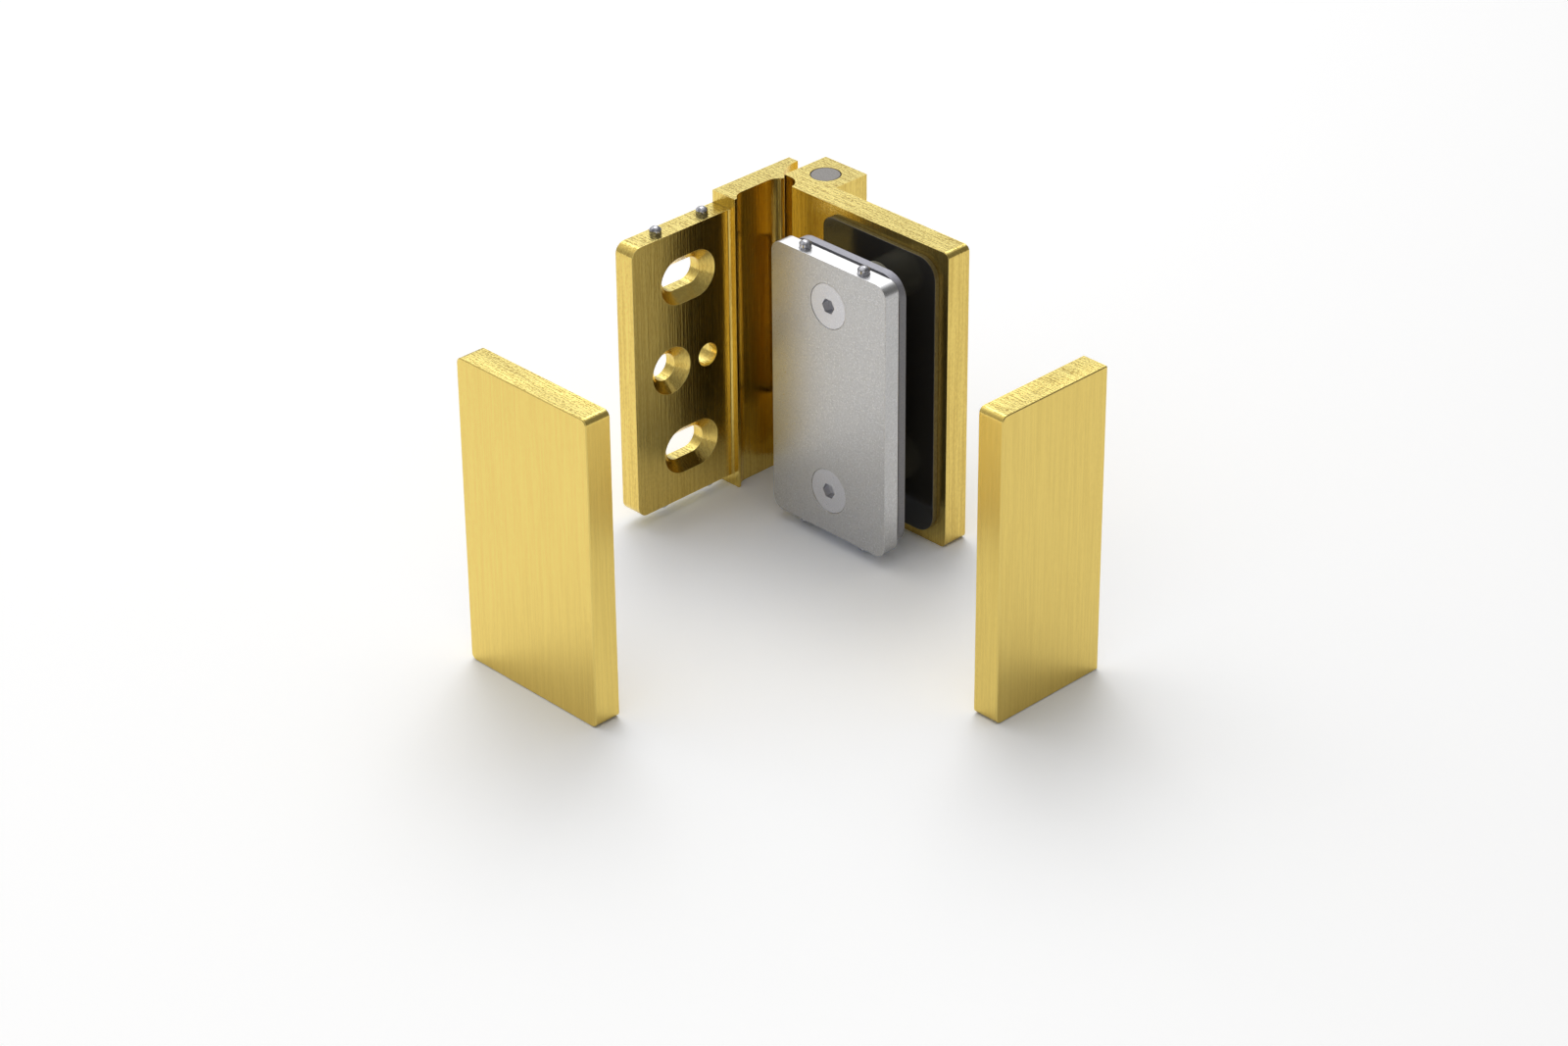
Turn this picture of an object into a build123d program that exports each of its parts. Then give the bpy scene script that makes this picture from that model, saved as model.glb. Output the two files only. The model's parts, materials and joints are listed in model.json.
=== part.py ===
from build123d import *
import math
import os

os.makedirs("parts", exist_ok=True)

# Wall-to-glass door hinge with its two push-on covers taken off and stood beside it.
# All sizes are in millimetres. The wall is the plane x = 0 and +X points out of it.
# +Z is up along the pin, and y = 0 is the line of the two slots in the wall leaf.
# The door is shown closed, square to the wall, and opens towards +Y.

# Heights
height = 90.0                  # both leaves at the pin, and both covers
core_height = 82.6             # the wall plate and the clamp plate, inside the covers

# Wall leaf, measured out of the wall and along it
wall_plate_thickness = 6.5
free_edge = 20.3               # from the slot line to the free edge
step_offset = 15.75            # from the slot line to the step that the cover meets
step_root_radius = 0.8
plate_corner_radius = 3.2
lip_land = 0.9                 # flat top of the lip beside the step
nose_height = 2.1              # low rim at the pin end of the recess
nose_land = 0.9                # its sloping top
nose_slope = 30.0              # in degrees
cove_radius = 4.5              # both ends of the recess, and the glass leaf's rebate
horn_past_pin = 0.6            # how far the leaf's end runs past the pin axis

# Screw holes in the wall leaf
screw_clearance_diameter = 8.0
countersink_diameter = 14.0
slot_travel = 6.0
slot_spacing = 52.4
round_hole_offset = 6.8        # middle screw hole, from the slot line
locating_hole_offset = 6.8     # plain hole, on the other side of the slot line
locating_hole_diameter = 6.8

# Pin, lugs and the wall leaf's knuckle between them
pin_from_wall = 15.0
pin_offset = 44.4
pin_diameter = 8.8
pin_end_chamfer = 0.35
lug_size = 16.0                # square, centred on the pin
lug_height = 20.0
lug_sweep_clearance = 0.2      # between the lugs' corners and the wall leaf
barrel_diameter = 16.0
barrel_sweep_clearance = 0.5   # between the knuckle and the glass leaf
lug_bore_clearance = 0.02      # the pin is a push fit in the lugs

# Flanged bushes in the knuckle
bush_wall = 1.5
bush_length = 14.0
bush_flange_diameter = 15.0
bush_flange_thickness = 1.0
bush_seat_clearance = 0.02
pin_running_clearance = 0.04
flange_running_clearance = 0.1

# Glass leaf
glass_leaf_thickness = 8.0
pin_behind_inner_face = 12.0   # from the leaf's inner face to the pin axis
leaf_corner_radius = 1.8
rebate_width = 7.0             # set back to the lugs' front, beside the wall leaf's nose
tapped_hole_depth = 6.5

# Clamp
clamp_centre_from_wall = 48.8
clamp_width = 43.0
clamp_plate_thickness = 5.0
clamp_corner_radius = 3.5
groove_width = 1.2             # room for the cover's rim behind the plate
groove_depth = 1.6
liner_width = 41.2
liner_thickness = 2.6
liner_corner_radius = 6.5
glass_gap = 10.5
pad_width = 42.2
pad_height = 83.8
pad_thickness = 1.5
pad_hinge_corner_radius = 3.5
pad_free_corner_radius = 6.0
screw_spacing = 56.8

# Clamp screws, countersunk with a hexagon socket
screw_diameter = 6.0
screw_length = 25.0
screw_head_diameter = 13.0
screw_head_rim = 0.3
screw_sunk = 0.1
socket_across_flats = 4.0
socket_depth = 2.3
screw_hole_clearance = 0.3
screw_seat_clearance = 0.1
thread_clearance = 0.05
sleeve_diameter = 12.8

# Spring catches that hold the covers
catch_diameter = 3.4
catch_reach = 2.3              # how far a catch stands out at rest
catch_travel = 1.8
catch_length = 4.6             # with the foot inside the bore
catch_bore_depth = 9.0
catch_dome_radius = 2.0
catch_clearance = 0.05
wall_catch_offset = 8.6
clamp_catch_offset = 11.0
spring_wire = 0.45
spring_turns = 3
spring_sides = 6               # straight runs in one turn of the coil
spring_seat_gap = 0.05

# Covers
cover_depth = 8.0
cover_wall = 2.0
cover_side_clearance = 1.0
cover_front_clearance = 0.25
wall_cover_edge_clearance = 0.7
cover_step_clearance = 0.3     # clear of the step's root as well
cover_corner_radius = 1.8
cover_inside_radius = 0.8
cover_edge_chamfer = 0.25
catch_groove_width = 2.8       # inside each cover, for the catches to drop into
catch_groove_depth = 0.5
glass_cover_pulled_out = 106.25  # how far each cover stands off its own seat
wall_cover_pulled_out = 136.05

# Places worked out from the sizes above
half_height = height / 2
lip_face = wall_plate_thickness + cover_front_clearance + cover_wall
nose_face = wall_plate_thickness + nose_height
lug_half = lug_size / 2
relief_radius = lug_half * math.sqrt(2) + lug_sweep_clearance
horn_end = pin_offset + horn_past_pin
knuckle_half = half_height - lug_height - bush_flange_thickness - flange_running_clearance
hinge_end = pin_from_wall - lug_half
inner_face = pin_offset - pin_behind_inner_face
rebate_depth = pin_behind_inner_face - lug_half
pad_face = inner_face - pad_thickness
liner_back = pad_face - glass_gap
liner_front = liner_back - liner_thickness
plate_back = liner_front - groove_width
plate_front = plate_back - clamp_plate_thickness
cover_side = cover_wall + cover_side_clearance
glass_cover_width = clamp_width + 2 * cover_side
leaf_end = clamp_centre_from_wall + glass_cover_width / 2
glass_cover_front = plate_front - cover_front_clearance - cover_wall
wall_cover_width = (step_offset + free_edge + wall_cover_edge_clearance + cover_wall
                    - cover_step_clearance)
cover_cavity_depth = cover_depth - cover_wall


# Helpers
def cove_run(rise):
    """How far a cove runs along its floor while it climbs by the given rise."""
    return math.sqrt(cove_radius ** 2 - (cove_radius - rise) ** 2)


def block(x_range, y_range, z_range):
    """A box between the given limits."""
    size = [b - a for a, b in (x_range, y_range, z_range)]
    middle = [(a + b) / 2 for a, b in (x_range, y_range, z_range)]
    return Pos(*middle) * Box(*size)


def area(x_range, y_range):
    """A rectangle in the XY plane between the given limits."""
    width = x_range[1] - x_range[0]
    depth = y_range[1] - y_range[0]
    return Pos(sum(x_range) / 2, sum(y_range) / 2) * Rectangle(width, depth)


def upright(profile, z_low, z_high):
    """An XY profile drawn up between two heights."""
    return extrude(Pos(0, 0, z_low) * profile, amount=z_high - z_low, dir=(0, 0, 1))


def rod_z(x, y, radius, z_low, z_high):
    """A round bar along Z."""
    return Pos(x, y, (z_low + z_high) / 2) * Cylinder(radius, z_high - z_low)


def rod_y(x, z, radius, y_low, y_high):
    """A round bar along Y."""
    return Pos(x, (y_low + y_high) / 2, z) * Rot(90, 0, 0) * Cylinder(radius, y_high - y_low)


def rod_x(y, z, radius, x_low, x_high):
    """A round bar along X."""
    return Pos((x_low + x_high) / 2, y, z) * Rot(0, 90, 0) * Cylinder(radius, x_high - x_low)


def facing_wall_plane(x):
    """Work plane square to X, with its own x along +Y and its own y along +Z."""
    return Plane(origin=(x, 0, 0), x_dir=(0, 1, 0), z_dir=(1, 0, 0))


def facing_glass_plane(y):
    """Work plane square to Y, with its own x along +X and its normal towards -Y."""
    return Plane(origin=(0, y, 0), x_dir=(1, 0, 0), z_dir=(0, -1, 0))


def rounded_slab(width, tall, radius, centre_x, y_low, y_high):
    """A flat plate square to Y with rounded corners."""
    outline = facing_glass_plane(y_high) * Pos(centre_x, 0) * RectangleRounded(width, tall, radius)
    return extrude(outline, amount=y_high - y_low, dir=(0, -1, 0))


# Catches: nose and spring, made standing at the origin with the mouth of the bore at z = 0
catch_radius = catch_diameter / 2
catch_foot = catch_reach - catch_length
spring_top = catch_foot - spring_seat_gap
spring_bottom = -catch_bore_depth + spring_seat_gap
spring_radius = catch_radius - spring_wire


def catch_hole():
    """The bore for one catch."""
    return rod_z(0, 0, catch_radius + catch_clearance, -catch_bore_depth, 1)


def catch_nose():
    """The catch: a pin with a domed end, turned in one piece."""
    dome_height = catch_dome_radius - math.sqrt(catch_dome_radius ** 2 - catch_radius ** 2)
    rim = catch_reach - dome_height
    half_angle = math.asin(catch_radius / catch_dome_radius) / 2
    on_dome = (catch_dome_radius * math.sin(half_angle),
               catch_reach - catch_dome_radius * (1 - math.cos(half_angle)))
    outline = Polyline((0, catch_reach), (0, catch_foot), (catch_radius, catch_foot),
                       (catch_radius, rim))
    dome = ThreePointArc((catch_radius, rim), on_dome, (0, catch_reach))
    return revolve(Plane.XZ * make_face(outline + dome), Axis.Z)


def catch_spring():
    """The coil spring behind a catch, bent in short straight runs."""
    rise = spring_top - spring_bottom - 2 * spring_wire
    runs = spring_turns * spring_sides
    route = []
    for index in range(runs + 1):
        angle = 2 * math.pi * index / spring_sides
        route.append((spring_radius * math.cos(angle), spring_radius * math.sin(angle),
                      spring_bottom + spring_wire + rise * index / runs))
    coil = Polyline(*route)
    section = Plane(origin=coil @ 0, z_dir=coil % 0) * Rectangle(spring_wire, spring_wire)
    return sweep(section, path=coil, transition=Transition.RIGHT)


wall_catch_x = wall_plate_thickness / 2
clamp_catch_y = plate_front + clamp_plate_thickness / 2
catch_places = {
    "wall_upper_outer": (wall_catch_x, -wall_catch_offset, 1),
    "wall_upper_inner": (wall_catch_x, wall_catch_offset, 1),
    "wall_lower_outer": (wall_catch_x, -wall_catch_offset, -1),
    "wall_lower_inner": (wall_catch_x, wall_catch_offset, -1),
    "clamp_upper_inner": (clamp_centre_from_wall - clamp_catch_offset, clamp_catch_y, 1),
    "clamp_upper_outer": (clamp_centre_from_wall + clamp_catch_offset, clamp_catch_y, 1),
    "clamp_lower_inner": (clamp_centre_from_wall - clamp_catch_offset, clamp_catch_y, -1),
    "clamp_lower_outer": (clamp_centre_from_wall + clamp_catch_offset, clamp_catch_y, -1),
}


def at_catch(name, shape):
    """Moves a shape made at the origin to a catch's place, turned over at the lower edge."""
    x, y, side = catch_places[name]
    turn = Rot(0, 0, 0) if side > 0 else Rot(180, 0, 0)
    return Pos(x, y, side * core_height / 2) * turn * shape


# Wall leaf
def knuckle_body_profile():
    """Section of the full-height part of the wall leaf: lip, recess, nose and horn."""
    recess_start = step_offset + lip_land + cove_run(lip_face - wall_plate_thickness) - cove_radius
    relief_reach = math.sqrt(relief_radius ** 2 - (pin_from_wall - nose_face) ** 2)
    nose_end = pin_offset - relief_reach
    nose_start = nose_end - nose_land
    nose_start_height = nose_height - nose_land * math.tan(math.radians(nose_slope))
    recess_end = nose_start - cove_run(nose_start_height) + cove_radius
    outline = area((0, lip_face), (step_offset, horn_end))
    above_nose = make_face(Polyline(
        (wall_plate_thickness + nose_start_height, nose_start), (nose_face, nose_end),
        (nose_face, horn_end + 1), (lip_face + 1, horn_end + 1), (lip_face + 1, nose_start),
        close=True))
    recess = area((wall_plate_thickness, 3 * lip_face), (recess_start, recess_end))
    recess = fillet(recess.vertices().group_by(Axis.X)[0], cove_radius)
    relief = Pos(pin_from_wall, pin_offset) * Circle(relief_radius)
    return outline - above_nose - recess - relief


def step_root_profile():
    """Section of the rounding between the plate and the step."""
    low = step_offset - step_root_radius
    high = wall_plate_thickness + step_root_radius
    corner = area((wall_plate_thickness, high), (low, step_offset))
    return corner - Pos(high, low) * Circle(step_root_radius)


def countersunk_slot(z):
    """A slot for a countersunk screw, long along Y."""
    depth = (countersink_diameter - screw_clearance_diameter) / 2
    through = facing_wall_plane(0) * Pos(0, z) * SlotCenterToCenter(slot_travel, screw_clearance_diameter)
    sink = facing_wall_plane(wall_plate_thickness) * Pos(0, z)
    mouth = sink * SlotCenterToCenter(slot_travel, countersink_diameter)
    cone = extrude(mouth, amount=-depth, taper=45)
    return extrude(through, amount=wall_plate_thickness) + cone


def countersunk_hole():
    """The middle screw hole."""
    depth = (countersink_diameter - screw_clearance_diameter) / 2
    cone = Cone(screw_clearance_diameter / 2, countersink_diameter / 2, depth)
    cone = Pos(wall_plate_thickness - depth / 2, -round_hole_offset, 0) * Rot(0, 90, 0) * cone
    hole = rod_x(-round_hole_offset, 0, screw_clearance_diameter / 2, -1, wall_plate_thickness)
    return hole + cone


def make_wall_leaf():
    """Wall plate, full-height knuckle body and the knuckle between the lugs."""
    plate_outline = facing_wall_plane(0) * area((-free_edge, step_offset + 1),
                                                (-core_height / 2, core_height / 2))
    free_corners = plate_outline.vertices().group_by(Axis.Y)[0]
    plate = extrude(fillet(free_corners, plate_corner_radius), amount=wall_plate_thickness)
    body = upright(knuckle_body_profile(), -half_height, half_height)
    arm = area((0, pin_from_wall), (pin_offset - barrel_diameter / 2, horn_end))
    barrel = Pos(pin_from_wall, pin_offset) * Circle(barrel_diameter / 2)
    knuckle = upright(arm + barrel, -knuckle_half, knuckle_half)
    bore_radius = pin_diameter / 2 + bush_wall + bush_seat_clearance
    step_root = upright(step_root_profile(), -core_height / 2, core_height / 2)
    leaf = plate + body + knuckle + step_root
    leaf -= rod_z(pin_from_wall, pin_offset, bore_radius, -half_height, half_height)
    for side in (-1, 1):
        leaf -= countersunk_slot(side * slot_spacing / 2)
    leaf -= countersunk_hole()
    leaf -= rod_x(locating_hole_offset, 0, locating_hole_diameter / 2, -1, lip_face)
    for name in catch_places:
        if name.startswith("wall"):
            leaf -= at_catch(name, catch_hole())
    return leaf


def make_bush(side):
    """Flanged bush in one end of the knuckle: the flange carries the lug."""
    inner = pin_diameter / 2 + pin_running_clearance
    outer = pin_diameter / 2 + bush_wall
    seat = side * knuckle_half
    flange_face = seat + side * bush_flange_thickness
    inside_end = seat - side * bush_length
    sleeve = rod_z(pin_from_wall, pin_offset, outer, *sorted((inside_end, seat)))
    flange = rod_z(pin_from_wall, pin_offset, bush_flange_diameter / 2, *sorted((seat, flange_face)))
    bore = rod_z(pin_from_wall, pin_offset, inner, -half_height, half_height)
    return sleeve + flange - bore


# Glass leaf
def make_glass_leaf():
    """Door plate with its two lugs, cleared for the wall leaf's knuckle."""
    middle = (hinge_end + leaf_end) / 2
    outline = facing_glass_plane(inner_face + glass_leaf_thickness) * Pos(middle, 0) * Rectangle(
        leaf_end - hinge_end, height)
    free_corners = outline.vertices().group_by(Axis.X)[-1]
    leaf = extrude(fillet(free_corners, leaf_corner_radius), amount=glass_leaf_thickness)
    lug = area((hinge_end, hinge_end + lug_size),
               (pin_offset - lug_half, pin_offset + lug_half))
    for side in (-1, 1):
        leaf += upright(lug, *sorted((side * half_height, side * (half_height - lug_height))))
    rebate = area((hinge_end - rebate_width, hinge_end + rebate_width),
                  (inner_face - rebate_depth, inner_face + rebate_depth))
    root = rebate.vertices().group_by(Axis.X)[-1].sort_by(Axis.Y)[-1]
    leaf -= upright(fillet(root, cove_radius), -half_height, half_height)
    relief_half = half_height - lug_height
    relief = Pos(pin_from_wall, pin_offset) * Circle(barrel_diameter / 2 + barrel_sweep_clearance)
    relief += area((0, hinge_end + rebate_width), (inner_face - 1, pin_offset))
    leaf -= upright(relief, -relief_half, relief_half)
    leaf -= rod_z(pin_from_wall, pin_offset, pin_diameter / 2 + lug_bore_clearance,
                  -half_height, half_height)
    for side in (-1, 1):
        leaf -= rod_y(clamp_centre_from_wall, side * screw_spacing / 2,
                      screw_diameter / 2 + thread_clearance, inner_face, inner_face + tapped_hole_depth)
    return leaf


def make_hinge_pin():
    """Plain pin, flush with the lugs, with chamfered ends."""
    pin = rod_z(pin_from_wall, pin_offset, pin_diameter / 2, -half_height, half_height)
    return chamfer(pin.edges().filter_by(GeomType.CIRCLE), pin_end_chamfer)


# Clamp
def screw_holes(shape, radius, y_low, y_high):
    """Drills the two clamp screw holes."""
    for side in (-1, 1):
        shape -= rod_y(clamp_centre_from_wall, side * screw_spacing / 2, radius, y_low, y_high)
    return shape


def make_glass_pad():
    """Pad between the glass and the leaf, rounder at its free side."""
    outline = facing_glass_plane(inner_face) * Pos(clamp_centre_from_wall, 0) * Rectangle(
        pad_width, pad_height)
    hinge_corners = outline.vertices().group_by(Axis.X)[0]
    outline = fillet(hinge_corners, pad_hinge_corner_radius)
    free_corners = outline.vertices().group_by(Axis.X)[-1]
    pad = extrude(fillet(free_corners, pad_free_corner_radius), amount=pad_thickness)
    return screw_holes(pad, screw_diameter / 2 + screw_hole_clearance, pad_face, inner_face)


def make_clamp_liner():
    """Liner between the clamp plate and the glass."""
    liner = rounded_slab(liner_width, core_height, liner_corner_radius, clamp_centre_from_wall,
                         liner_front, liner_back)
    return screw_holes(liner, screw_diameter / 2 + screw_hole_clearance, liner_front, liner_back)


def head_cone(extra):
    """The cone of a countersunk head, standing on Z with its wide end at z = 0."""
    wide = screw_head_diameter / 2 + extra
    narrow = screw_diameter / 2 + extra
    return Pos(0, 0, (wide - narrow) / -2) * Cone(narrow, wide, wide - narrow)


def make_clamp_plate():
    """Clamp plate, with a raised back that leaves a groove for the cover's rim."""
    plate = rounded_slab(clamp_width, core_height, clamp_corner_radius, clamp_centre_from_wall,
                         plate_front, plate_back)
    plate += rounded_slab(liner_width - 2 * groove_depth, core_height - 2 * groove_depth,
                          liner_corner_radius - groove_depth, clamp_centre_from_wall,
                          plate_back, liner_front)
    plate = screw_holes(plate, screw_diameter / 2 + screw_hole_clearance, plate_front, liner_front)
    seat_front = plate_front + screw_sunk + screw_head_rim
    for side in (-1, 1):
        place = Pos(clamp_centre_from_wall, seat_front, side * screw_spacing / 2) * Rot(90, 0, 0)
        plate -= place * head_cone(screw_seat_clearance)
        plate -= rod_y(clamp_centre_from_wall, side * screw_spacing / 2,
                       screw_head_diameter / 2 + screw_seat_clearance, plate_front - 1, seat_front)
    for name in catch_places:
        if name.startswith("clamp"):
            plate -= at_catch(name, catch_hole())
    return plate


def make_clamp_screw(side):
    """Countersunk screw with a hexagon socket, made on Z and turned to lie along Y."""
    rim = rod_z(0, 0, screw_head_diameter / 2, -screw_head_rim, 0)
    shank = rod_z(0, 0, screw_diameter / 2, -screw_length, -screw_head_rim)
    screw = rim + Pos(0, 0, -screw_head_rim) * head_cone(0) + shank
    hexagon = RegularPolygon(socket_across_flats / 2, 6, major_radius=False)
    screw -= upright(hexagon, -socket_depth, 1)
    head = Pos(clamp_centre_from_wall, plate_front + screw_sunk, side * screw_spacing / 2)
    return head * Rot(90, 0, 0) * screw


def make_sleeve(side):
    """Sleeve round a clamp screw, where it passes through the glass."""
    sleeve = rod_y(clamp_centre_from_wall, side * screw_spacing / 2, sleeve_diameter / 2,
                   liner_back, pad_face)
    return sleeve - rod_y(clamp_centre_from_wall, side * screw_spacing / 2,
                          screw_diameter / 2 + screw_hole_clearance, liner_back, pad_face)


# Covers, each made on its seat and then moved straight out
def catch_grooves(x_range, y_range):
    """The grooves in a cover's upper and lower walls that the catches drop into."""
    reach = half_height - cover_wall + catch_groove_depth
    return block(x_range, y_range, (-reach, reach))


def make_glass_cover():
    """Lid over the clamp plate, open at the back."""
    back = glass_cover_front + cover_depth
    cover = rounded_slab(glass_cover_width, height, cover_corner_radius, clamp_centre_from_wall,
                         glass_cover_front, back)
    cover = chamfer(cover.faces().sort_by(Axis.Y)[0].edges(), cover_edge_chamfer)
    inside_width = glass_cover_width - 2 * cover_wall
    cover -= rounded_slab(inside_width, height - 2 * cover_wall, cover_inside_radius,
                          clamp_centre_from_wall, glass_cover_front + cover_wall, back)
    groove_reach = inside_width / 2 - cover_inside_radius
    cover -= catch_grooves(
        (clamp_centre_from_wall - groove_reach, clamp_centre_from_wall + groove_reach),
        (clamp_catch_y - catch_groove_width / 2, clamp_catch_y + catch_groove_width / 2))
    return Pos(0, -glass_cover_pulled_out, 0) * cover


def make_wall_cover():
    """Cover over the wall plate, open at the back and at the hinge side."""
    hinge_side = step_offset - cover_step_clearance
    outer_side = hinge_side - wall_cover_width
    back = lip_face - cover_depth
    outline = facing_wall_plane(back) * area((outer_side, hinge_side), (-half_height, half_height))
    outline = fillet(outline.vertices().group_by(Axis.Y)[0], cover_corner_radius)
    cover = extrude(outline, amount=cover_depth)
    front_edges = cover.faces().sort_by(Axis.X)[-1].edges().sort_by(Axis.Y)[:-1]
    cover = chamfer(front_edges, cover_edge_chamfer)
    inside = facing_wall_plane(back) * area((outer_side + cover_wall, hinge_side + 1),
                                            (cover_wall - half_height, half_height - cover_wall))
    inside = fillet(inside.vertices().group_by(Axis.Y)[0], cover_inside_radius)
    cover -= extrude(inside, amount=cover_cavity_depth)
    cover -= catch_grooves(
        (wall_catch_x - catch_groove_width / 2, wall_catch_x + catch_groove_width / 2),
        (outer_side + cover_wall + cover_inside_radius, hinge_side + 1))
    return Pos(wall_cover_pulled_out, 0, 0) * cover


# Every piece, one file each
pieces = {
    "wall_leaf": make_wall_leaf(),
    "upper_bush": make_bush(1),
    "lower_bush": make_bush(-1),
    "glass_leaf": make_glass_leaf(),
    "hinge_pin": make_hinge_pin(),
    "glass_pad": make_glass_pad(),
    "clamp_plate": make_clamp_plate(),
    "clamp_liner": make_clamp_liner(),
    "upper_clamp_screw": make_clamp_screw(1),
    "lower_clamp_screw": make_clamp_screw(-1),
    "upper_screw_sleeve": make_sleeve(1),
    "lower_screw_sleeve": make_sleeve(-1),
    "glass_cover": make_glass_cover(),
    "wall_cover": make_wall_cover(),
}
for name in catch_places:
    pieces[name + "_catch"] = at_catch(name, catch_nose())
    pieces[name + "_spring"] = at_catch(name, catch_spring())

for name, shape in pieces.items():
    export_step(shape, "parts/" + name + ".step")
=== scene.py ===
import json
import math
import bpy
from mathutils import Matrix, Vector

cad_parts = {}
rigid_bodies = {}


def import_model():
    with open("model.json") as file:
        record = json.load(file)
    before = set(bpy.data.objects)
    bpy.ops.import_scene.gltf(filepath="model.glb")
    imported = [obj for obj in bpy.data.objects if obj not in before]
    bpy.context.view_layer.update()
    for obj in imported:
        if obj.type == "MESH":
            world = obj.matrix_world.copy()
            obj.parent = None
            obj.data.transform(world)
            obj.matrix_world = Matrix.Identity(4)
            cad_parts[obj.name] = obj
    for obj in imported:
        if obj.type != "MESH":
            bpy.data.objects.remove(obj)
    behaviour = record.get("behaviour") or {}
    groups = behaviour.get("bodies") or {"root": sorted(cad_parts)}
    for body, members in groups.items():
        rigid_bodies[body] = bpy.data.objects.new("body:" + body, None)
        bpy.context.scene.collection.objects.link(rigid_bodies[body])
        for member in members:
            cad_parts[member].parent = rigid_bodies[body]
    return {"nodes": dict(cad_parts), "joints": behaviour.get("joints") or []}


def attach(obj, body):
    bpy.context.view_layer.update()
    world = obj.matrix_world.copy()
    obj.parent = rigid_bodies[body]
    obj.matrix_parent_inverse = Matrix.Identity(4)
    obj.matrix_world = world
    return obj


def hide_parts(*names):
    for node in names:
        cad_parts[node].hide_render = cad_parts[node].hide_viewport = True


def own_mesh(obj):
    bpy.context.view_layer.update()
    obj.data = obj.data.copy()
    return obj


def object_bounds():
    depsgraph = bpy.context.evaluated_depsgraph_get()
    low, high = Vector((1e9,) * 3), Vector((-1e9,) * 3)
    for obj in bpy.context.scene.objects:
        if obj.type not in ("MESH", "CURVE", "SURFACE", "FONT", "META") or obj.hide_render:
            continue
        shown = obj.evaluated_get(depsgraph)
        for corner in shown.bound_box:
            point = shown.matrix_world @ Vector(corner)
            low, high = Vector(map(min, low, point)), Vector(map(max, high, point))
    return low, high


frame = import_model()
nodes = frame["nodes"]
cad_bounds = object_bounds()

# Lengths are in metres, and colours are red, green and blue. A pair of figures is a range
X, Y, Z = range(3)
WHITE = (1.0, 1.0, 1.0)
NODE_SAMPLES = 4               # for the nodes that feel for edges and corners

# Camera, at the photograph's angle
CAMERA_PLACE = Vector((0.76902, -0.70224, 0.55039))
CAMERA_AZIMUTH = 45.947        # degrees, from +Y towards -X
CAMERA_DROP = 30.139           # degrees below the horizon
CAMERA_ROLL = -0.527           # degrees
CAMERA_LENS = 97.878           # in millimetres, as is the sensor's width
SENSOR_WIDTH = 36.0
CAMERA_REACH = 20


def add_camera():
    """The camera, aimed by its azimuth, its drop and a small roll."""
    azimuth, drop = math.radians(CAMERA_AZIMUTH), math.radians(CAMERA_DROP)
    forward = Vector((-math.sin(azimuth) * math.cos(drop), math.cos(azimuth) * math.cos(drop),
                      -math.sin(drop)))
    level = forward.to_track_quat("-Z", "Y").to_matrix()
    turned = level @ Matrix.Rotation(math.radians(CAMERA_ROLL), 3, "Z")
    data = bpy.data.cameras.new("photo_camera")
    data.sensor_width = SENSOR_WIDTH
    data.lens = CAMERA_LENS
    data.clip_end = CAMERA_REACH
    camera = bpy.data.objects.new("photo_camera", data)
    bpy.context.scene.collection.objects.link(camera)
    camera.matrix_world = Matrix.Translation(CAMERA_PLACE) @ turned.to_4x4()
    bpy.context.scene.camera = camera


# Short calls for building node trees
MIX_SOCKETS = {"FLOAT": (2, 3, 0), "RGBA": (6, 7, 2)}    # the Mix node's two inputs and its output


class Tree:
    """A node tree with short calls to add nodes and to join them."""

    def __init__(self, tree):
        self.tree = tree
        tree.nodes.clear()

    def add(self, kind, inputs=None, **settings):
        """Adds a node, sets it up and returns it."""
        node = self.tree.nodes.new(kind)
        for name, value in settings.items():
            setattr(node, name, value)
        for socket, value in (inputs or {}).items():
            self.feed(node, socket, value)
        return node

    def feed(self, node, socket, value):
        """Joins an output to an input, or sets the input's own value."""
        if isinstance(value, bpy.types.NodeSocket):
            self.tree.links.new(value, node.inputs[socket])
        else:
            node.inputs[socket].default_value = value

    def maths(self, operation, first, second=0.0):
        """One of the Math node's operations, on one value or two."""
        return self.add("ShaderNodeMath", {0: first, 1: second}, operation=operation).outputs[0]

    def dot(self, first, second):
        """The dot product of two vectors."""
        node = self.add("ShaderNodeVectorMath", {0: first, 1: second}, operation="DOT_PRODUCT")
        return node.outputs["Value"]

    def mix(self, share, first, second, kind="FLOAT"):
        """A value that goes from the first to the second as the share goes from 0 to 1."""
        start, end, result = MIX_SOCKETS[kind]
        node = self.add("ShaderNodeMix", {"Factor": share, start: first, end: second}, data_type=kind)
        return node.outputs[result]

    def mix_colours(self, share, first, second):
        """The same for two colours. A colour in figures is made opaque."""
        pair = [(*colour, 1.0) if isinstance(colour, tuple) else colour for colour in (first, second)]
        return self.mix(share, *pair, kind="RGBA")

    def spread(self, value, old, new=(0.0, 1.0)):
        """Stretches a value's old range to the new one. A value outside the old range stays at an end."""
        inputs = {"From Min": old[0], "From Max": old[1], "To Min": new[0], "To Max": new[1]}
        return self.add("ShaderNodeMapRange", {"Value": value, **inputs}).outputs[0]


def new_material(name):
    """An empty material and its tree."""
    material = bpy.data.materials.new(name)
    material.use_nodes = True
    return material, Tree(material.node_tree)


def finish_material(tree, inputs):
    """Adds the surface shader with its inputs."""
    shader = tree.add("ShaderNodeBsdfPrincipled", inputs)
    tree.add("ShaderNodeOutputMaterial", {"Surface": shader.outputs[0]})


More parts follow.
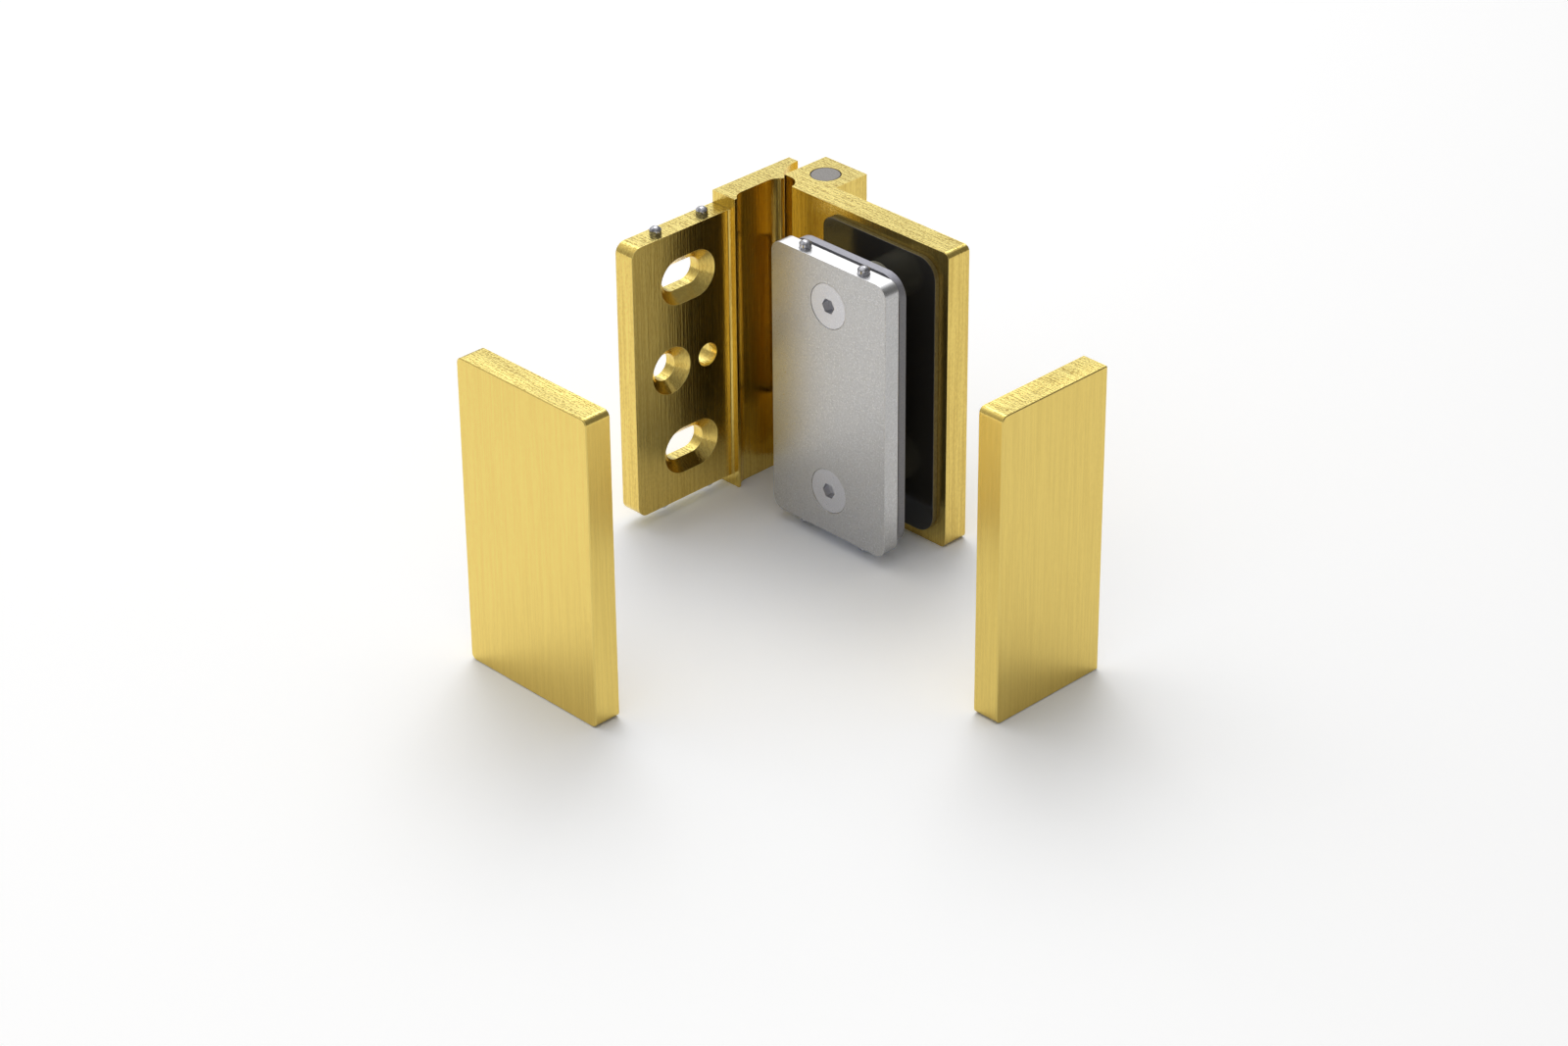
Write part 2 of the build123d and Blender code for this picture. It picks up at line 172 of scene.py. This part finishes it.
def grain(tree, across, along, axis, detail=3.0):
    """Fine noise, drawn out along one axis. Across and along are the sizes of a streak."""
    scale = [1 / across] * 3
    scale[axis] = 1 / along
    place = tree.add("ShaderNodeTexCoord").outputs["Object"]
    stretched = tree.add("ShaderNodeVectorMath", {0: place, 1: scale}, operation="MULTIPLY").outputs[0]
    inputs = {"Vector": stretched, "Scale": 1.0, "Detail": detail, "Roughness": 0.6}
    return tree.add("ShaderNodeTexNoise", inputs).outputs[0]


def facing(tree, axis):
    """How squarely the surface faces one of the object's own axes, from 0 to 1."""
    normal = tree.add("ShaderNodeTexCoord").outputs["Normal"]
    part = tree.add("ShaderNodeSeparateXYZ", {0: normal}).outputs[axis]
    return tree.maths("ABSOLUTE", part)


def eased_normal(tree, radius):
    """The surface's normal, turned smoothly over its edges."""
    return tree.add("ShaderNodeBevel", {"Radius": radius}, samples=NODE_SAMPLES).outputs[0]


EDGE_AGREEMENT = (0.995, 0.92)    # of the eased and the true normal, from a face to its edge


def edge_nearness(tree, eased):
    """How near an edge the point is, from 0 to 1, as the eased normal tells."""
    true = tree.add("ShaderNodeNewGeometry").outputs["Normal"]
    return tree.spread(tree.dot(eased, true), EDGE_AGREEMENT)


def openness(tree, reach):
    """How open the place is within a reach, from 0 in a narrow corner to 1 on a free face."""
    return tree.add("ShaderNodeAmbientOcclusion", {"Distance": reach}, samples=NODE_SAMPLES).outputs["AO"]


# Gold
GOLD = (0.855, 0.645, 0.175)
GOLD_DEEP = (0.48, 0.29, 0.05)
GOLD_WORN = (0.90, 0.72, 0.25)
GOLD_END = (0.83, 0.69, 0.225)
GOLD_SAWN = (0.42, 0.29, 0.055)
# painted shade: the colour of the gold in narrow corners, seams and holes
GOLD_PAINTED_SHADE = (0.20, 0.10, 0.02)
END_FACING = (0.75, 0.95)      # how squarely a face looks up or down, from a side to an end
SIDE_HEIGHTS = (0.88, 0.62)    # of the brushing, from its crests to its grooves
END_HEIGHTS = (1.06, 0.82)     # of the saw marks, from their crests to their grooves
SPECKLE_SHARE = 0.5
SAW_DEPTH = 0.00008
GOLD_BUMP = 0.8
GOLD_EDGE = 0.00025
GOLD_ANISOTROPY = 0.6
GROOVE_ROUGHNESS = 0.12        # more than on the crests
EDGE_ROUGHNESS = 0.3           # more than on the faces
# Painted shade: how near a wall it falls, and how dark it gets
CORNER_SHADE_REACH = 0.0006
CORNER_SHADE_OPENNESS = (0.85, 0.4)
CORNER_SHADE_TONES = (0.0, 0.5)


def brushed_gold(name, roughness, depth, contrast):
    """Gold brushed upright on its sides, with saw marks along X on its ends, and painted shade in its
    narrow corners.
    """
    material, tree = new_material(name)
    brushing = grain(tree, across=0.00055, along=0.03, axis=Z)
    speckle = grain(tree, across=0.0006, along=0.0012, axis=Z, detail=2.0)
    sawing = grain(tree, across=0.0005, along=0.009, axis=X)
    dots = grain(tree, across=0.00045, along=0.0009, axis=X, detail=2.0)
    side_height = tree.maths("ADD", brushing, tree.maths("MULTIPLY", speckle, SPECKLE_SHARE))
    end_height = tree.maths("ADD", sawing, dots)
    end_share = tree.spread(facing(tree, Z), END_FACING)
    nearness = edge_nearness(tree, eased_normal(tree, GOLD_EDGE))

    side_tone = tree.spread(side_height, SIDE_HEIGHTS, (0.0, contrast))
    side_colour = tree.mix_colours(side_tone, GOLD, GOLD_DEEP)
    end_colour = tree.mix_colours(tree.spread(end_height, END_HEIGHTS), GOLD_END, GOLD_SAWN)
    colour = tree.mix_colours(end_share, side_colour, end_colour)
    colour = tree.mix_colours(nearness, colour, GOLD_WORN)
    # Painted shade: darker gold in narrow corners, seams and recesses
    corner_shade = tree.spread(openness(tree, CORNER_SHADE_REACH), CORNER_SHADE_OPENNESS, CORNER_SHADE_TONES)
    colour = tree.mix_colours(corner_shade, colour, GOLD_PAINTED_SHADE)

    rough = tree.spread(side_tone, (0.0, 1.0), (roughness, roughness + GROOVE_ROUGHNESS))
    rough = tree.maths("ADD", rough, tree.maths("MULTIPLY", nearness, EDGE_ROUGHNESS))
    bump = tree.add("ShaderNodeBump", {"Strength": GOLD_BUMP,
                                       "Distance": tree.mix(end_share, depth, SAW_DEPTH),
                                       "Height": tree.mix(end_share, side_height, end_height)})
    finish_material(tree, {"Base Color": colour, "Metallic": 1.0, "Roughness": rough,
                           "Anisotropic": GOLD_ANISOTROPY, "Normal": bump.outputs[0]})
    return material


# Steel, plastic and rubber
GRIT_HEIGHTS = (0.3, 0.7)
GRIT_DEPTH = 0.00003
GRIT_BUMP = 0.12
GRIT_ROUGHNESS = 0.08          # more in the second colour than in the first
TONED_FACING = (0.6, 0.9)      # how squarely a face looks along the toned axis, to get its colours
WORN_BRIGHTNESS = 1.2


def surface(name, colours, roughness, grit, toned=None, edge=0.0002, metal=1.0, specular=0.5):
    """A fine-grained surface with eased, slightly paler edges.

    Toned is an axis, and the pair of colours for the faces square to it. On the clamp plate and the liner
    that pair is a painted highlight; on the pad the other pair is a painted reflection.
    """
    material, tree = new_material(name)
    texture = grain(tree, across=grit, along=grit, axis=X)
    tone = tree.spread(texture, GRIT_HEIGHTS)
    shown = tree.mix_colours(tone, *colours)
    if toned:
        axis, pair = toned
        share = tree.spread(facing(tree, axis), TONED_FACING)
        shown = tree.mix_colours(share, shown, tree.mix_colours(tone, *pair))
    eased = eased_normal(tree, edge)
    worn = tree.add("ShaderNodeHueSaturation", {"Value": WORN_BRIGHTNESS, "Color": shown}).outputs[0]
    colour = tree.mix_colours(edge_nearness(tree, eased), shown, worn)
    rough = tree.spread(tone, (0.0, 1.0), (roughness, roughness + GRIT_ROUGHNESS))
    bump = tree.add("ShaderNodeBump", {"Strength": GRIT_BUMP, "Distance": GRIT_DEPTH, "Height": texture,
                                       "Normal": eased})
    finish_material(tree, {"Base Color": colour, "Metallic": metal, "Roughness": rough,
                           "Specular IOR Level": specular, "Normal": bump.outputs[0]})
    return material


# Finishes of the CAD's pieces
def dress(material, names):
    """Gives CAD nodes their finish."""
    for name in names:
        node = nodes[name]
        node.data.materials.clear()
        node.data.materials.append(material)


catches = [name for name in nodes if name.endswith("_catch")]
springs = [name for name in nodes if name.endswith("_spring")]
dress(brushed_gold("leaf_gold", roughness=0.16, depth=0.00008, contrast=0.42),
      ["wall_leaf", "glass_leaf"])
dress(brushed_gold("cover_gold", roughness=0.24, depth=0.00002, contrast=0.15),
      ["wall_cover", "glass_cover"])
dress(surface("ground_steel", [(0.29, 0.276, 0.262), (0.20, 0.19, 0.18)], roughness=0.35, grit=0.0005),
      ["hinge_pin"])
dress(surface("black_plastic", [(0.03, 0.03, 0.03), (0.02, 0.02, 0.02)], roughness=0.5, grit=0.0006,
              metal=0.0),
      ["upper_bush", "lower_bush"])
# Painted reflection: the pad's faces other than its front and back are brown, as the gold mirrored in
# them; the black pair is the rubber's own colour
dress(surface("black_rubber_painted_reflection", [(0.12, 0.10, 0.055), (0.07, 0.055, 0.03)], roughness=0.12, grit=0.0006,
              toned=(Y, [(0.026, 0.024, 0.020), (0.014, 0.013, 0.011)]), edge=0.0004, metal=0.0,
              specular=1.0),
      ["glass_pad"])
# Painted highlight: the liner's top and bottom faces much paler than its sides
dress(surface("grey_plastic_painted_top_light", [(0.26, 0.26, 0.29), (0.19, 0.19, 0.21)], roughness=0.25, grit=0.0006,
              toned=(Z, [(0.56, 0.56, 0.64), (0.40, 0.40, 0.46)]), edge=0.0003, metal=0.0),
      ["clamp_liner"])
# Painted highlight: the clamp plate's top and bottom faces far paler than its sides
dress(surface("clamp_satin_painted_top_light", [(0.59, 0.585, 0.58), (0.47, 0.465, 0.46)], roughness=0.26, grit=0.0005,
              toned=(Z, [(0.93, 0.93, 0.94), (0.85, 0.85, 0.86)])),
      ["clamp_plate"])
dress(surface("screw_satin", [(0.67, 0.67, 0.70), (0.62, 0.62, 0.65)], roughness=0.26, grit=0.0004),
      ["upper_clamp_screw", "lower_clamp_screw"])
dress(surface("white_plastic", [(0.50, 0.47, 0.36), (0.42, 0.40, 0.30)], roughness=0.25, grit=0.0006,
              metal=0.0),
      ["upper_screw_sleeve", "lower_screw_sleeve"])
dress(surface("catch_chrome", [(0.80, 0.80, 0.84), (0.12, 0.12, 0.14)], roughness=0.1, grit=0.0007),
      catches)
dress(surface("wire_steel", [(0.5, 0.5, 0.52), (0.4, 0.4, 0.42)], roughness=0.3, grit=0.0003),
      springs)

# Smooth shading, with crisp edges
CRISP_ANGLE = 28               # degrees: two faces at a greater angle meet in a crisp edge


def shade(node):
    """Smooths the round faces of a piece and keeps its edges crisp."""
    node.data.shade_smooth()
    modifier = node.modifiers.new("crisp_edges", "EDGE_SPLIT")
    modifier.split_angle = math.radians(CRISP_ANGLE)


for name in nodes:
    shade(nodes[name])


# Springs
def add_coil(joint, spring):
    """Stands in for a catch's spring, with the same form."""
    coil = bpy.data.objects.new(spring + "_coil", nodes[spring].data.copy())
    bpy.context.scene.collection.objects.link(coil)
    coil.matrix_world = nodes[spring].matrix_world
    shade(coil)
    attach(coil, joint["parent"])
    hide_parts(spring)
    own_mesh(coil)


for joint in frame["joints"]:
    for row in joint.get("deforming_nodes", []):
        add_coil(joint, row["node"])

# Floor
RIGHT_WAY = (0.707, 0.707, 0.0)         # to the right in the photograph
FLOOR_SIZE = 12.0
# Painted shadow: the floor's colour near the object, darker and bluer
FLOOR_PAINTED_SHADE = (0.73, 0.785, 0.90)       # near the object, where it takes out the gold's glow
FLOOR_BOUNCE = (0.88, 0.88, 0.88)       # as it lights the object
FLOOR_LIFT = 1.28                       # times its colour, where it is seen or mirrored
SHADE_REACH = 0.25
# Painted shade: the seen floor dims to the right, and the mirrored floor dims along X
RIGHT_STRETCH = (0.08, 0.45)            # where the seen floor dims to the right
RIGHT_LIFTS = (FLOOR_LIFT, 0.88 * FLOOR_LIFT)
MIRROR_STRETCH = (0.0, 0.14)            # where the mirrored floor dims along X
MIRROR_LIFTS = (FLOOR_LIFT, 0.85 * FLOOR_LIFT)


def add_floor():
    """A seamless pale floor under the lowest point of the object, with a painted shadow around the
    object, and painted shade that makes it dimmer to the right and, in reflections, dimmer along X.
    """
    bpy.ops.mesh.primitive_plane_add(size=FLOOR_SIZE, location=(0, 0, cad_bounds[0].z))
    floor = bpy.context.object
    floor.name = "studio_floor"
    material, tree = new_material("floor_white")
    ray = tree.add("ShaderNodeLightPath").outputs
    mirrored = tree.maths("MAXIMUM", ray["Is Glossy Ray"], ray["Is Transmission Ray"])
    seen = tree.maths("MAXIMUM", ray["Is Camera Ray"], mirrored)
    place = tree.add("ShaderNodeTexCoord").outputs["Object"]
    # Painted shade: the seen floor dimmer to the right, the mirrored floor dimmer along X
    right_level = tree.spread(tree.dot(place, RIGHT_WAY), RIGHT_STRETCH, RIGHT_LIFTS)
    mirror_level = tree.spread(tree.dot(place, (1, 0, 0)), MIRROR_STRETCH, MIRROR_LIFTS)
    level = tree.mix(mirrored, right_level, mirror_level)
    # Painted shadow: the floor darker and bluer where the object is near
    shown = tree.mix_colours(openness(tree, SHADE_REACH), FLOOR_PAINTED_SHADE, WHITE)
    lifted = tree.add("ShaderNodeVectorMath", {0: shown, "Scale": level}, operation="SCALE").outputs[0]
    colour = tree.mix_colours(seen, FLOOR_BOUNCE, lifted)
    shader = tree.add("ShaderNodeBsdfDiffuse", {"Color": colour})
    tree.add("ShaderNodeOutputMaterial", {"Surface": shader.outputs[0]})
    floor.data.materials.append(material)


# Light
SKY_BASE = 0.47
SKY_LEAST = 0.22
SKY_GLOW = 1.08
GLOW_WAY = (-0.47, 0.28, 0.84)          # above and behind the object, from the camera
GLOW_POWER = 4.0                        # how narrow the glow is
RIGHT_DIM = 0.6


def add_sky():
    """Soft light from all round, brightest above and behind the object and dimmer at the right."""
    world = bpy.data.worlds.new("studio")
    world.use_nodes = True
    tree = Tree(world.node_tree)
    way = tree.add("ShaderNodeTexCoord").outputs["Generated"]
    towards = tree.maths("MAXIMUM", tree.dot(way, GLOW_WAY), 0.0)
    glow = tree.maths("MULTIPLY", tree.maths("POWER", towards, GLOW_POWER), SKY_GLOW)
    right = tree.maths("MULTIPLY", tree.maths("MAXIMUM", tree.dot(way, RIGHT_WAY), 0.0), RIGHT_DIM)
    level = tree.maths("SUBTRACT", tree.maths("ADD", glow, SKY_BASE), right)
    level = tree.maths("MAXIMUM", level, SKY_LEAST)
    sky = tree.add("ShaderNodeBackground", {"Color": (*WHITE, 1.0), "Strength": level})
    tree.add("ShaderNodeOutputWorld", {"Surface": sky.outputs[0]})
    bpy.context.scene.world = world


def add_softbox(name, place, aim, size, power):
    """A large soft square lamp. Its power is in watts."""
    data = bpy.data.lights.new(name, "AREA")
    data.shape = "SQUARE"
    data.size = size
    data.energy = power
    lamp = bpy.data.objects.new(name, data)
    bpy.context.scene.collection.objects.link(lamp)
    lamp.location = place
    lamp.rotation_mode = "QUATERNION"
    lamp.rotation_quaternion = (Vector(aim) - Vector(place)).to_track_quat("-Z", "Y")


add_camera()
add_floor()
add_sky()
add_softbox("back_softbox", place=(-0.7, 0.7, 1.5), aim=(0.04, 0.0, 0.0), size=0.9, power=5.0)
scene = bpy.context.scene
scene.view_settings.view_transform = "Standard"
